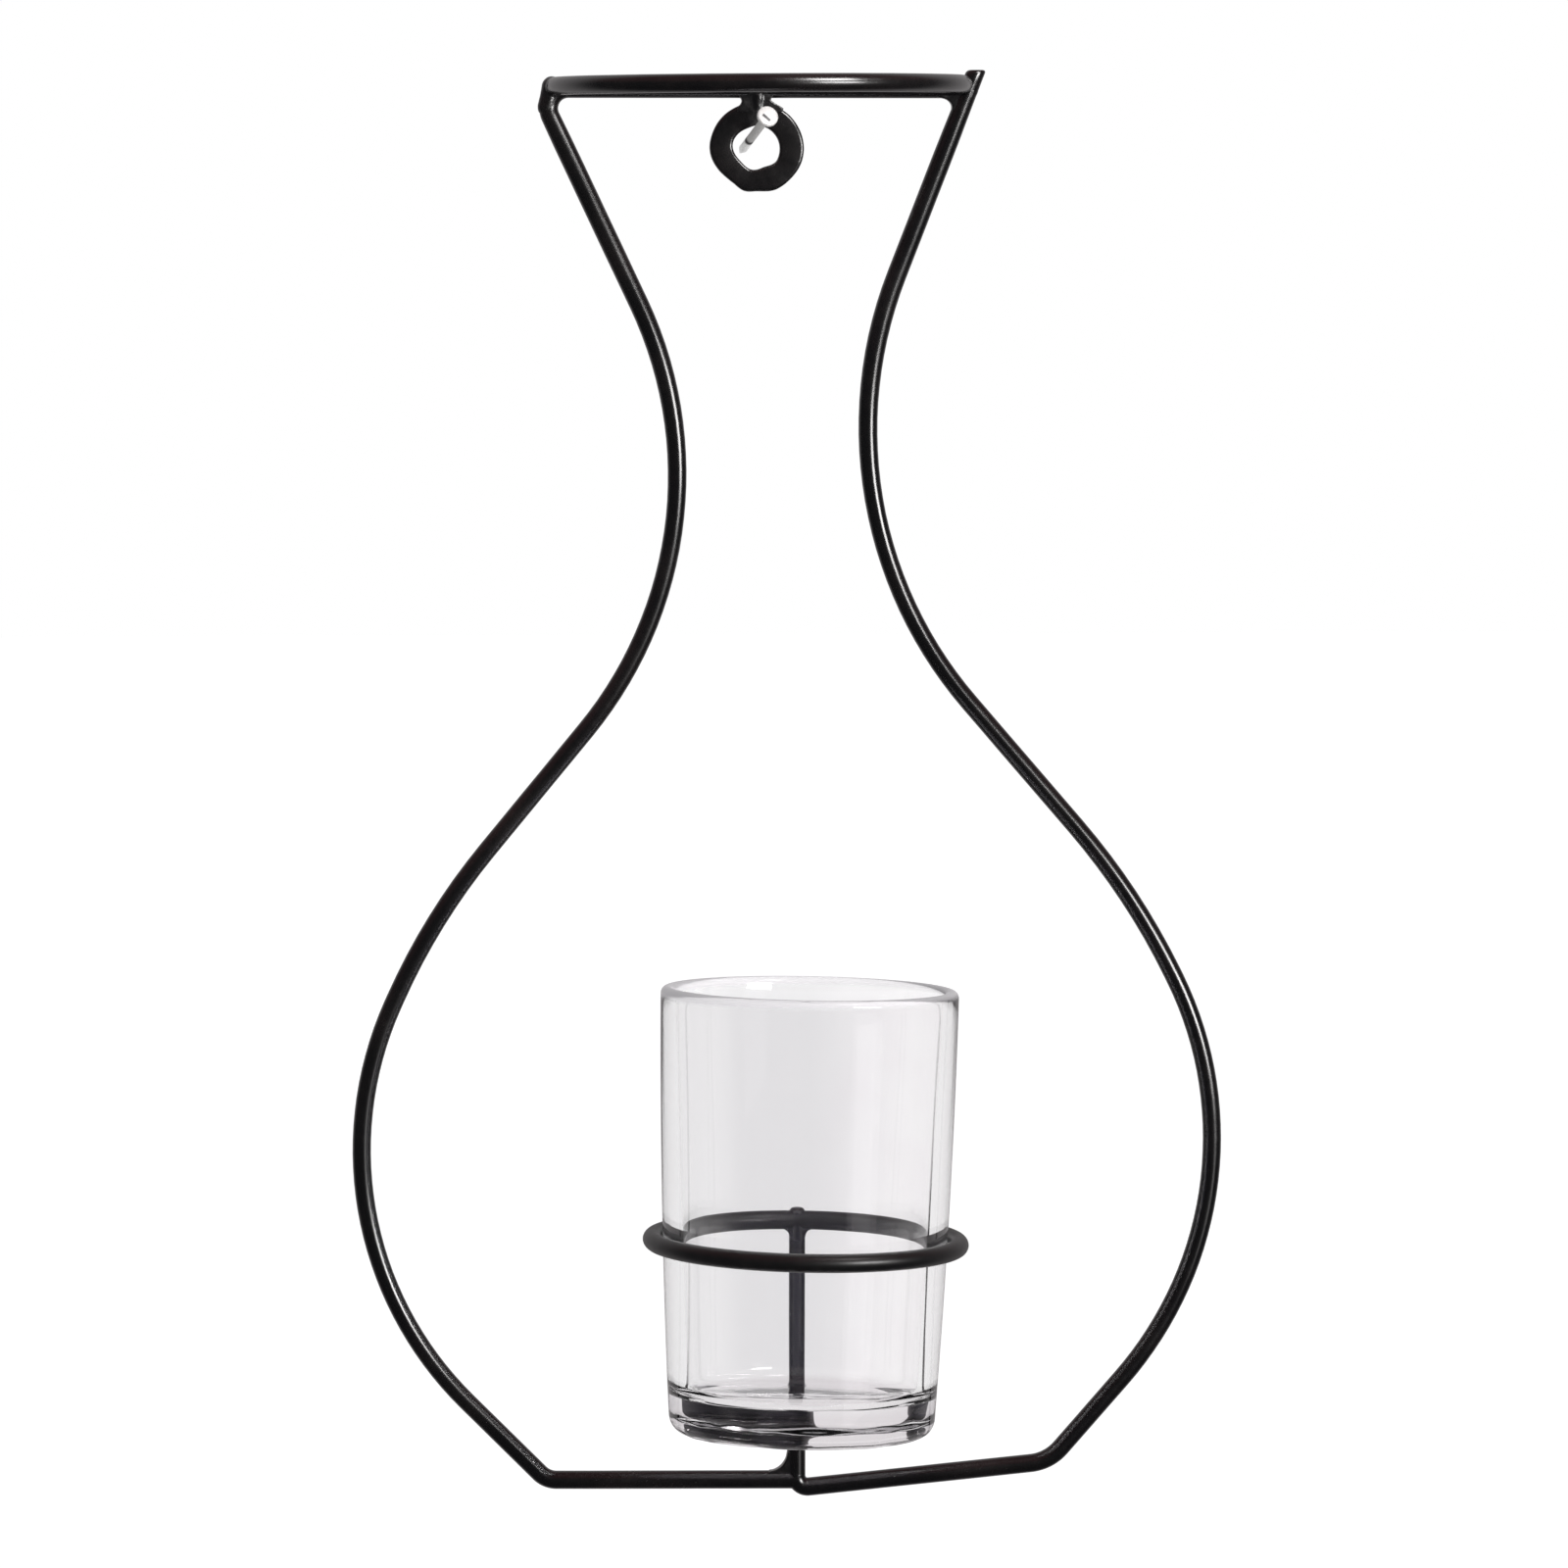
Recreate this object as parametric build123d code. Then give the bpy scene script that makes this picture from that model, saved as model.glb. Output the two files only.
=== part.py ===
from build123d import *
import os
from math import asin, atan2, cos, degrees, radians, sin, tan

# Sizes in millimetres. The wall is the plane y = 0, the vase hangs on its -Y side,
# and the origin is the point where the nail enters the wall.

# bent wire, paint included
wire_d = 3.2

# steel nail, slanting up and to the right out of the wall
nail_d = 1.5
nail_length = 17.0
nail_exposed = 10.8
nail_point = 2.2
nail_head_d = 3.7
nail_head_t = 0.8
nail_slant = 26.0
nail_turn = 31.0

# washer used as the hanging eyelet, with a flat on its lower edge
eyelet_d = 16.4
eyelet_hole_d = 8.2
eyelet_t = 1.8
eyelet_gap = 0.7
eyelet_right = 0.62
eyelet_flat = 0.65
hang_clearance = 0.3

# outline stations: each is the corner where two straight runs of a wire would meet;
# x from the nail, drops below the mouth bar, rises above the lowest bend
frame_drop = 243.2
left_mouth_x = -36.85
left_neck_x = -0.6
left_neck_drop = 76.75
left_shoulder_x = -55.45
left_shoulder_drop = 143.2
left_belly_x = -79.65
left_belly_rise = 46.0
left_foot_x = -35.65
left_foot_rise = 1.9
left_bar_end_rise = 1.5
right_mouth_x = 37.85
right_neck_x = 9.4
right_neck_drop = 72.9
right_shoulder_x = 66.8
right_shoulder_drop = 139.6
right_belly_x = 92.95
right_belly_rise = 50.55
right_foot_x = 52.15
right_foot_rise = 4.2
post_x = 7.9

# wide bends, on the wire's centre line
left_neck_bend = 69.3
left_shoulder_bend = 112.0
left_belly_bend = 62.0
right_neck_bend = 72.9
right_shoulder_bend = 123.0
right_belly_bend = 64.2

# tight bends, on the inside of the wire
mouth_bend_inside = 1.8
foot_bend_inside = 0.8
post_bend_inside = 0.4

# wire end left standing above the mouth on the right
stub_rise = 3.3

# half ring at the front of the mouth
mouth_arc_left_rise = 0.4
mouth_arc_right_rise = 0.8
mouth_arc_left_inset = 0.94
mouth_arc_right_inset = 1.0

# glass cup
cup_height = 76.7
cup_rim_r = 25.5
cup_seat_height = 33.2
cup_left = 0.12
cup_taper_above_seat = 1.15
cup_taper_below_seat = 1.75
cup_rim_wall = 2.4
cup_base_wall = 3.0
cup_floor_t = 6.6
cup_heel = 3.4
cup_floor_round = 3.0

# ring that the cup wedges in, and how far it was welded out of level
ring_rise = 46.95
post_over_ring = 0.5
ring_left = 0.5
ring_forward = 0.4
ring_end_gap = 0.8
ring_droop = 1.5
holder_roll = 1.1
seat_clearance = 0.35

# weld beads: how far each one reaches out of the wires that it joins
bead_r = 1.9
web_t = 2.0
bar_web_along_bar = 2.2
bar_web_along_wire = 1.9
foot_web_along_bar = 1.4
foot_web_along_post = 3.8
ring_web_along_ring = 1.2
ring_web_along_post = 1.4
eyelet_bead_width = 4.8
eyelet_bead_height = 3.4
eyelet_bead_over = 0.55
eyelet_bead_round = 0.8

wire_r = wire_d / 2
frame_y = -wire_r
mouth_bend = wire_r + mouth_bend_inside
foot_bend = wire_r + foot_bend_inside
post_bend = wire_r + post_bend_inside

# the nail crosses the frame plane above and to the right of where it enters the wall
nail_run = wire_r * tan(radians(nail_slant))
hang_x = nail_run * sin(radians(nail_turn))
hang_z = nail_run * cos(radians(nail_turn))
nail_reach = eyelet_t / 2 * tan(radians(nail_slant)) + nail_d / 2 / cos(radians(nail_slant))
hang_offset = eyelet_hole_d / 2 - nail_reach - hang_clearance
eyelet_x = hang_x + eyelet_right
eyelet_z = hang_z - (hang_offset**2 - eyelet_right**2) ** 0.5
bar_z = eyelet_z + eyelet_d / 2 + eyelet_gap + wire_r

# the half ring ends on the left mouth bend and on the right wire
mouth_corner = atan2(left_neck_drop, left_neck_x - left_mouth_x)
left_bend_x = left_mouth_x + mouth_bend / tan(mouth_corner / 2) - mouth_bend
right_lean = (right_neck_x - right_mouth_x) / right_neck_drop
arc_left_x = left_bend_x + mouth_arc_left_inset
arc_right_x = right_mouth_x - right_lean * mouth_arc_right_rise - mouth_arc_right_inset
arc_r = (arc_right_x - arc_left_x) / 2
arc_x = (arc_right_x + arc_left_x) / 2

# the ring is sized by the cup where the cup wedges in it
cup_seat_r = cup_rim_r - cup_taper_above_seat
cup_base_r = cup_seat_r - cup_taper_below_seat
ring_r = cup_seat_r + seat_clearance + wire_r
ring_back_drop = frame_drop - ring_rise


# a point of the frame plane
def at(x, drop):
    return Vector(x, frame_y, bar_z - drop)


ring_back = at(post_x - ring_left, ring_back_drop) - Vector(0, ring_forward, 0)
holder = Location(ring_back, (ring_droop, holder_roll, 0))


# bends, made tighter where two neighbours would not fit on the run between them
def fitted_bends(points, bends):
    runs = [after - before for before, after in zip(points, points[1:])]
    reach = [tan(radians(run.get_angle(following)) / 2) for run, following in zip(runs, runs[1:])]
    fitted = list(bends)
    for i in range(len(bends) - 1):
        share = 0.98 * runs[i + 1].length / (bends[i] * reach[i] + bends[i + 1] * reach[i + 1])
        fitted[i] = min(fitted[i], bends[i] * share)
        fitted[i + 1] = min(fitted[i + 1], bends[i + 1] * share)
    return fitted


# a wire of straight runs joined by round bends
def bent_wire(points, bends):
    path = FilletPolyline(*points, radius=fitted_bends(points, bends))
    section = Plane(origin=path @ 0, z_dir=path % 0) * Circle(wire_r)
    return sweep(section, path=path).solid()


def main_solid(shape):
    return max(shape.solids(), key=lambda one: one.volume)


def make_right_side_wire():
    top_rise = stub_rise + wire_d
    points = [
        at(right_mouth_x - right_lean * top_rise, -top_rise),
        at(right_neck_x, right_neck_drop),
        at(right_shoulder_x, right_shoulder_drop),
        at(right_belly_x, frame_drop - right_belly_rise),
        at(right_foot_x, frame_drop - right_foot_rise),
        at(post_x, frame_drop),
        at(post_x, ring_back_drop - wire_r - post_over_ring),
    ]
    bends = [right_neck_bend, right_shoulder_bend, right_belly_bend, foot_bend, post_bend]
    wire = bent_wire(points, bends)
    above_stub = Box(8 * wire_d, 4 * wire_d, 4 * wire_d, align=(Align.CENTER, Align.CENTER, Align.MIN))
    return main_solid(wire - Pos(at(right_mouth_x, -stub_rise)) * above_stub)


def make_left_side_wire(right_wire):
    points = [
        at(post_x, frame_drop - left_bar_end_rise),
        at(left_foot_x, frame_drop - left_foot_rise),
        at(left_belly_x, frame_drop - left_belly_rise),
        at(left_shoulder_x, left_shoulder_drop),
        at(left_neck_x, left_neck_drop),
        at(left_mouth_x, 0),
        at(right_mouth_x, 0),
    ]
    bends = [foot_bend, left_belly_bend, left_shoulder_bend, left_neck_bend, mouth_bend]
    wire = bent_wire(points, bends)
    return main_solid(wire - right_wire)


def make_mouth_front_arc(left_wire, right_wire):
    path = ThreePointArc(
        (arc_left_x, frame_y, bar_z + mouth_arc_left_rise),
        (arc_x, frame_y - arc_r, bar_z + (mouth_arc_left_rise + mouth_arc_right_rise) / 2),
        (arc_right_x, frame_y, bar_z + mouth_arc_right_rise),
    )
    section = Plane(origin=path @ 0, z_dir=path % 0) * Circle(wire_r)
    return main_solid(sweep(section, path=path) - left_wire - right_wire)


def make_hanging_eyelet(left_wire):
    flat = Circle(eyelet_d / 2) - Circle(eyelet_hole_d / 2)
    face = Plane(origin=(eyelet_x, frame_y, eyelet_z), z_dir=(0, 1, 0)) * flat
    washer = extrude(face, amount=eyelet_t / 2, both=True)
    below = Box(eyelet_d, 2 * eyelet_t, eyelet_d, align=(Align.CENTER, Align.CENTER, Align.MAX))
    ground = Pos(eyelet_x, frame_y, eyelet_z - eyelet_d / 2 + eyelet_flat) * below
    return main_solid(washer - ground - left_wire)


# an open ring whose two ends are coped to the post
def make_cup_ring(right_wire):
    half_gap = degrees(asin(ring_end_gap / 2 / ring_r))
    round_path = CenterArc((0, 0, 0), ring_r, 90 + half_gap, 360 - 2 * half_gap)
    path = holder * Pos(0, -ring_r, 0) * round_path
    section = Plane(origin=path @ 0, z_dir=path % 0) * Circle(wire_r)
    return main_solid(sweep(section, path=path) - right_wire)


def make_glass_cup():
    heel = Vector(cup_base_r, 0)
    seat = Vector(cup_seat_r, cup_seat_height)
    rim = Vector(cup_rim_r, cup_height)
    inner_rim = Vector(cup_rim_r - cup_rim_wall, cup_height)
    floor = Vector(cup_base_r - cup_base_wall, cup_floor_t)
    inside = Polyline(rim, inner_rim, floor, (0, cup_floor_t), (0, 0), heel)
    half = make_face(ThreePointArc(heel, seat, rim) + inside)
    for corner, radius in (
        (rim, 0.46 * cup_rim_wall),
        (inner_rim, 0.46 * cup_rim_wall),
        (heel, cup_heel),
        (floor, cup_floor_round),
    ):
        half = fillet(half.vertices().sort_by_distance(corner)[0], radius)
    cup = revolve(Plane.XZ * half, axis=Axis.Z)
    centre = (holder * Pos(0, -ring_r, 0)).position - Vector(cup_left, 0, 0)
    return (Pos(centre) * Rot(0, holder_roll, 0) * Pos(0, 0, -cup_seat_height) * cup).solid()


def make_wall_nail():
    slant = radians(nail_slant)
    turn = radians(nail_turn)
    into_wall = Vector(-sin(slant) * sin(turn), cos(slant), -sin(slant) * cos(turn))
    nail_r = nail_d / 2
    tip = nail_length - nail_exposed
    under_head = nail_head_t - nail_exposed
    head_rim = Vector(nail_head_d / 2, -nail_exposed)
    outline = Polyline(
        (0, -nail_exposed),
        head_rim,
        (nail_head_d / 2, under_head),
        (nail_r, under_head),
        (nail_r, tip - nail_point),
        (0, tip),
        (0, -nail_exposed),
    )
    half = make_face(outline)
    half = fillet(half.vertices().sort_by_distance(head_rim)[0], nail_head_t / 2)
    nail = revolve(Plane.XZ * half, axis=Axis.Z)
    return (Plane(origin=(0, 0, 0), z_dir=into_wall).location * nail).solid()


# a flat weld fillet between two wires, from the corner of their centre lines
def web(corner, along_a, along_b, *wires):
    outline = make_face(Polyline(corner, corner + along_a, corner + along_b, corner))
    plate = extrude(outline, amount=web_t / 2, dir=(0, 1, 0), both=True)
    for wire in wires:
        plate = plate - wire
    return main_solid(plate)


def make_weld_bar_end(left_wire, right_wire):
    corner = at(right_mouth_x, 0)
    along_bar = Vector(-1, 0, 0)
    down_wire = (at(right_neck_x, right_neck_drop) - corner).normalized()
    return web(
        corner,
        along_bar * (wire_d + bar_web_along_bar),
        down_wire * (wire_d + bar_web_along_wire),
        left_wire,
        right_wire,
    )


def make_weld_foot(left_wire, right_wire):
    corner = at(post_x, frame_drop - left_bar_end_rise)
    along_bar = (at(left_foot_x, frame_drop - left_foot_rise) - corner).normalized()
    up_post = Vector(0, 0, 1)
    return web(
        corner,
        along_bar * (wire_d + foot_web_along_bar),
        up_post * (wire_d + foot_web_along_post),
        left_wire,
        right_wire,
    )


def make_weld_ring(side, ring, right_wire):
    along_ring = Vector(side * cos(radians(holder_roll)), 0, -side * sin(radians(holder_roll)))
    down_post = Vector(0, 0, -1)
    return web(
        at(post_x, ring_back_drop),
        along_ring * (wire_d + ring_web_along_ring),
        down_post * (wire_d + ring_web_along_post),
        ring,
        right_wire,
    )


# a round bead in the inner corner between the half ring and the bar
def make_weld_arc(arc_end_x, arc_end_rise, side, *neighbours):
    bead = Pos(arc_end_x - side * wire_r, frame_y - wire_r, bar_z + arc_end_rise / 2) * Sphere(bead_r)
    for neighbour in neighbours:
        bead = bead - neighbour
    return main_solid(bead)


def make_weld_eyelet(eyelet, left_wire):
    lump = Box(eyelet_bead_width, eyelet_t + 2 * eyelet_bead_over, eyelet_bead_height)
    lump = fillet(lump.edges(), eyelet_bead_round)
    neck = Pos(eyelet_x, frame_y, bar_z - wire_r - eyelet_gap / 2) * lump
    return main_solid(neck - eyelet - left_wire)


right_side_wire = make_right_side_wire()
left_side_wire = make_left_side_wire(right_side_wire)
mouth_front_arc = make_mouth_front_arc(left_side_wire, right_side_wire)
hanging_eyelet = make_hanging_eyelet(left_side_wire)
cup_ring = make_cup_ring(right_side_wire)
weld_bar_end = make_weld_bar_end(left_side_wire, right_side_wire)
mouth_wires = [mouth_front_arc, left_side_wire, right_side_wire]

pieces = {
    "left_side_wire": left_side_wire,
    "right_side_wire": right_side_wire,
    "mouth_front_arc": mouth_front_arc,
    "hanging_eyelet": hanging_eyelet,
    "cup_ring": cup_ring,
    "glass_cup": make_glass_cup(),
    "wall_nail": make_wall_nail(),
    "weld_arc_left": make_weld_arc(arc_left_x, mouth_arc_left_rise, -1, *mouth_wires),
    "weld_arc_right": make_weld_arc(arc_right_x, mouth_arc_right_rise, 1, *mouth_wires, weld_bar_end),
    "weld_bar_end": weld_bar_end,
    "weld_eyelet": make_weld_eyelet(hanging_eyelet, left_side_wire),
    "weld_foot": make_weld_foot(left_side_wire, right_side_wire),
    "weld_ring_left": make_weld_ring(-1, cup_ring, right_side_wire),
    "weld_ring_right": make_weld_ring(1, cup_ring, right_side_wire),
}

os.makedirs("parts", exist_ok=True)
for name, piece in pieces.items():
    export_step(piece, f"parts/{name}.step")
    print(name, round(piece.volume, 2), piece.is_valid)
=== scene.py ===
import math
import bpy
from mathutils import Matrix, Vector


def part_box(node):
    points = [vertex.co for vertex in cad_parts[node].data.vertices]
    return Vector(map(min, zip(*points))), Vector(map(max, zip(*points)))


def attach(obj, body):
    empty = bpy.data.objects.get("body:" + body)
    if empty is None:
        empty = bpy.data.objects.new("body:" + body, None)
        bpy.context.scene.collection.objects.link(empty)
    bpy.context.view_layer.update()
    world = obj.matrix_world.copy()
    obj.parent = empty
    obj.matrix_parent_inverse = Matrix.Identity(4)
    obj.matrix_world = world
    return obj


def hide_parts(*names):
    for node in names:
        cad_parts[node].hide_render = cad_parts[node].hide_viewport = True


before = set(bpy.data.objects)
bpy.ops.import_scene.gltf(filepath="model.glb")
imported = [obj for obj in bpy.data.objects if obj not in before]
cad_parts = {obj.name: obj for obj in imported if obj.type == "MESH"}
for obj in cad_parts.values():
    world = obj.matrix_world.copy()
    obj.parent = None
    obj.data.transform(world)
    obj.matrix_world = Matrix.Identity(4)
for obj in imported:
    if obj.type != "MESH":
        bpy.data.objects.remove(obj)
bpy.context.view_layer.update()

mm = 0.001
samePlace = 1e-6  # points nearer than this, in metres, are merged
leftWay = Vector((-1, 0, 0))
upWay = Vector((0, 0, 1))
frontWay = Vector((0, -1, 0))

# sizes are in mm; the wall is the plane y = 0, and drops are measured down from the mouth bar
vaseFrame = {
    "wireRadius": 1.6,
    "wireSides": 36,
    "postX": 7.9,
}
wireRadius = vaseFrame["wireRadius"]
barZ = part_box("left_side_wire")[1].z / mm - wireRadius
print("frame loaded, mouth bar at", round(barZ, 3), "mm")


def framePoint(x, drop, forward=0.0):
    return Vector((x, -wireRadius - forward, barZ - drop)) * mm


def inMetres(sizes):
    return [size * mm for size in sizes]


# how far a value is on its way from start to end, from 0 to 1
def wayAlong(value, start, end):
    return min(1.0, max(0.0, (value - start) / (end - start)))


def deselectAll():
    bpy.ops.object.select_all(action="DESELECT")


def pick(piece):
    deselectAll()
    piece.select_set(True)
    bpy.context.view_layer.objects.active = piece


def applyPlace():
    bpy.ops.object.transform_apply(location=True, rotation=True, scale=True)


def layIn(piece, place):
    piece.matrix_world = place
    pick(piece)
    applyPlace()


def selectMesh():
    bpy.ops.mesh.select_all(action="SELECT")


# a single point to draw a chain from, left in edit mode
def startChain(name, point):
    deselectAll()
    bpy.ops.mesh.primitive_plane_add(size=mm, location=(0, 0, 0))
    piece = bpy.context.object
    piece.name = name
    bpy.ops.object.mode_set(mode="EDIT")
    selectMesh()
    bpy.ops.mesh.merge(type="CENTER")
    bpy.ops.transform.translate(value=point)
    return piece


def drawChain(points):
    for here, there in zip(points, points[1:]):
        bpy.ops.mesh.extrude_region_move(TRANSFORM_OT_translate={"value": there - here})


# a ring of points standing across the start of a wire, left in edit mode
def startWire(name, point, direction):
    deselectAll()
    turn = direction.to_track_quat("Z", "Y").to_euler()
    bpy.ops.mesh.primitive_circle_add(
        vertices=vaseFrame["wireSides"], radius=wireRadius * mm, location=point, rotation=turn)
    piece = bpy.context.object
    piece.name = name
    applyPlace()
    bpy.ops.object.mode_set(mode="EDIT")
    selectMesh()
    return piece


def closeUp():
    selectMesh()
    bpy.ops.mesh.remove_doubles(threshold=samePlace)
    bpy.ops.mesh.fill_holes(sides=0)
    bpy.ops.mesh.normals_make_consistent(inside=False)
    bpy.ops.object.mode_set(mode="OBJECT")


# a half section of (radius, height) points, spun about the upright axis
def spinSection(name, section, around):
    points = [Vector((r, 0, z)) * mm for r, z in section]
    piece = startChain(name, points[0])
    drawChain(points)
    selectMesh()
    bpy.ops.mesh.spin(steps=around, angle=2 * math.pi, center=(0, 0, 0), axis=upWay)
    closeUp()
    return piece


def arcPoints(centre, radius, fromDegrees, toDegrees, steps):
    turns = [math.radians(fromDegrees + (toDegrees - fromDegrees) * i / steps) for i in range(steps + 1)]
    return [(centre[0] + radius * math.cos(t), centre[1] + radius * math.sin(t)) for t in turns]


def applyModifier(piece, kind, **settings):
    modifier = piece.modifiers.new(kind.lower(), kind)
    for name, value in settings.items():
        setattr(modifier, name, value)
    bpy.context.view_layer.objects.active = piece
    bpy.ops.object.modifier_apply(modifier=modifier.name)


# pushes a surface in and out by clouds of a given depth and size
def displaceByClouds(piece, depth, size, **settings):
    texture = bpy.data.textures.new(piece.name + "Clouds", "CLOUDS")
    texture.noise_scale = size * mm
    applyModifier(piece, "DISPLACE", texture=texture, texture_coords="LOCAL",
                  strength=depth * mm, mid_level=0.5, **settings)


def smoothFaces(piece, degrees=40):
    pick(piece)
    bpy.ops.object.shade_smooth_by_angle(angle=math.radians(degrees))


def settle(piece, body, node, material):
    piece.data.materials.clear()
    piece.data.materials.append(material)
    low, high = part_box(node)
    points = [piece.matrix_world @ v.co for v in piece.data.vertices]
    off = []
    for axis in range(3):
        lowOff = abs(min(point[axis] for point in points) - low[axis])
        highOff = abs(max(point[axis] for point in points) - high[axis])
        off.append(round(max(lowOff, highOff) / mm, 2))
    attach(piece, body)
    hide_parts(node)
    print(node, "made,", len(piece.data.polygons), "faces, off its solid's box by", off, "mm")


# shader maths on sockets
class Sock:
    def __init__(self, tree, out):
        self.tree = tree
        self.out = out

    def maths(self, operation, first, second):
        return addNode(self.tree, "ShaderNodeMath", {"operation": operation}, {0: first, 1: second})

    def __add__(self, other):
        return self.maths("ADD", self, other)

    def __radd__(self, other):
        return self.maths("ADD", other, self)

    def __sub__(self, other):
        return self.maths("SUBTRACT", self, other)

    def __rsub__(self, other):
        return self.maths("SUBTRACT", other, self)

    def __mul__(self, other):
        return self.maths("MULTIPLY", self, other)

    def __rmul__(self, other):
        return self.maths("MULTIPLY", other, self)


def addNode(tree, kind, settings=None, sockets=None, out=0):
    node = tree.nodes.new(kind)
    for name, value in (settings or {}).items():
        setattr(node, name, value)
    for name, value in (sockets or {}).items():
        if isinstance(value, Sock):
            tree.links.new(value.out, node.inputs[name])
        else:
            node.inputs[name].default_value = value
    return Sock(tree, node.outputs[out]) if len(node.outputs) else None


def startMaterial(name):
    material = bpy.data.materials.new(name)
    material.use_nodes = True
    material.node_tree.nodes.clear()
    return material, material.node_tree


def objectCoords(tree):
    return addNode(tree, "ShaderNodeTexCoord", out="Object")


def axisOf(tree, coords, axis):
    return addNode(tree, "ShaderNodeSeparateXYZ", {}, {0: coords}, axis)


def noise(tree, coords, scale, detail, rough):
    return addNode(tree, "ShaderNodeTexNoise", {}, {
        "Vector": coords, "Scale": scale, "Detail": detail, "Roughness": rough})


def blend(first, second, share):
    return first * (1.0 - share) + second * share


def between(tree, value, low, high, fromLow=0.3, fromHigh=0.7):
    return addNode(tree, "ShaderNodeMapRange", {"interpolation_type": "SMOOTHSTEP"}, {
        "Value": value, "From Min": fromLow, "From Max": fromHigh, "To Min": low, "To Max": high})


def mixColours(tree, factor, first, second):
    return addNode(tree, "ShaderNodeMix", {"data_type": "RGBA"}, {0: factor, 6: first, 7: second}, 2)


def bumpBy(tree, height, strength, depth):
    return addNode(tree, "ShaderNodeBump", {}, {
        "Strength": strength, "Distance": depth * mm, "Height": height})


# in every material a noise is its scale, detail and roughness, and a depth is in mm
enamel = {
    "black": (0.0016, 0.0014, 0.0015, 1),
    "thinCoat": (0.0056, 0.0038, 0.0036, 1),
    "gloss": (0.2, 0.28),
    "coat": 0.5,
    "coatRough": 0.15,
    "ior": 1.5,
    "specular": 0.9,
    "satinGloss": (0.34, 0.44),
    "satinCoat": 0.05,
    "broad": (70.0, 3.0, 0.5),
    "fine": (700.0, 3.0, 0.55),
    "specks": (2600.0, 1.0, 0.5),
    "fineInThin": 0.25,
    "thinFrom": (0.42, 0.68),
    "fineInGloss": 0.3,
    "dust": 0.03,
    "dustFrom": (0.68, 0.8),
    "peel": 0.006,
    "peelDepth": 0.12,
    "lumpyRough": (0.1, 0.15),
    "lumpyPeel": 0.2,
    "weldLumps": 0.6,
    "ringLumps": 0.1,
}


# sprayed black enamel, thinner in patches, with a fine orange peel
def makeEnamel(name, lumpy=0.0, gloss=enamel["gloss"], coat=enamel["coat"]):
    material, tree = startMaterial(name)
    coords = objectCoords(tree)
    broad = noise(tree, coords, *enamel["broad"])
    fine = noise(tree, coords, *enamel["fine"])
    specks = noise(tree, coords, *enamel["specks"])
    thin = between(tree, blend(broad, fine, enamel["fineInThin"]), 0.0, 1.0, *enamel["thinFrom"])
    colour = mixColours(tree, thin, enamel["black"], enamel["thinCoat"])
    low, high = [level + more * lumpy for level, more in zip(gloss, enamel["lumpyRough"])]
    dust = between(tree, specks, 0.0, enamel["dust"], *enamel["dustFrom"])
    rough = between(tree, blend(broad, fine, enamel["fineInGloss"]), low, high) + dust
    peel = bumpBy(tree, fine, enamel["peel"] + enamel["lumpyPeel"] * lumpy, enamel["peelDepth"])
    shader = addNode(tree, "ShaderNodeBsdfPrincipled", {}, {
        "Base Color": colour, "Roughness": rough, "Normal": peel, "IOR": enamel["ior"],
        "Specular IOR Level": enamel["specular"], "Coat Weight": coat, "Coat Roughness": enamel["coatRough"]})
    addNode(tree, "ShaderNodeOutputMaterial", {}, {"Surface": shader})
    return material


# a dent's shade is painted on the head as a short dark dash
steel = {
    "bright": (0.58, 0.57, 0.56, 1),
    "dull": (0.46, 0.45, 0.44, 1),
    # the dark band at the wall line is painted shadow, where the nail goes into the wall
    "wallShadow": (0.035, 0.033, 0.034, 1),
    "plaster": (0.97, 0.97, 0.965, 1),
    "metal": 0.3,
    "drawn": (1.0, 0.12, 1.0),
    "scratches": (3200.0, 4.0, 0.65),
    "patches": (420.0, 2.0, 0.5),
    "scratchInDull": 0.6,
    "dullFrom": (0.5, 0.75),
    "rough": (0.42, 0.54),
    "scratchInRough": 0.5,
    "scratchBump": 0.2,
    "scratchDepth": 0.06,
    "ragged": 0.6,
    "wallShadowDepth": (-1.1, -0.1),
    "plasterDepth": (0.0, 0.7),
    "plasterRough": 0.35,
    "dentShade": (0.08, 0.08, 0.082, 1),
    "dentAt": (2.12, -9.6, 3.7),
    "dentAlong": (0.75, 0.0, -0.66),
    "dentAcross": (0.66, 0.0, 0.75),
    "dentLength": 0.75,
    "dentWidth": 0.16,
    "dentFade": 0.16,
}


def dentReach(tree, place, way, reach):
    along = addNode(tree, "ShaderNodeVectorMath", {"operation": "DOT_PRODUCT"}, {0: place, 1: way}, "Value")
    away = along.maths("ABSOLUTE", along, 0.0)
    return between(tree, away, 1.0, 0.0, reach * mm, (reach + steel["dentFade"]) * mm)
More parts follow.
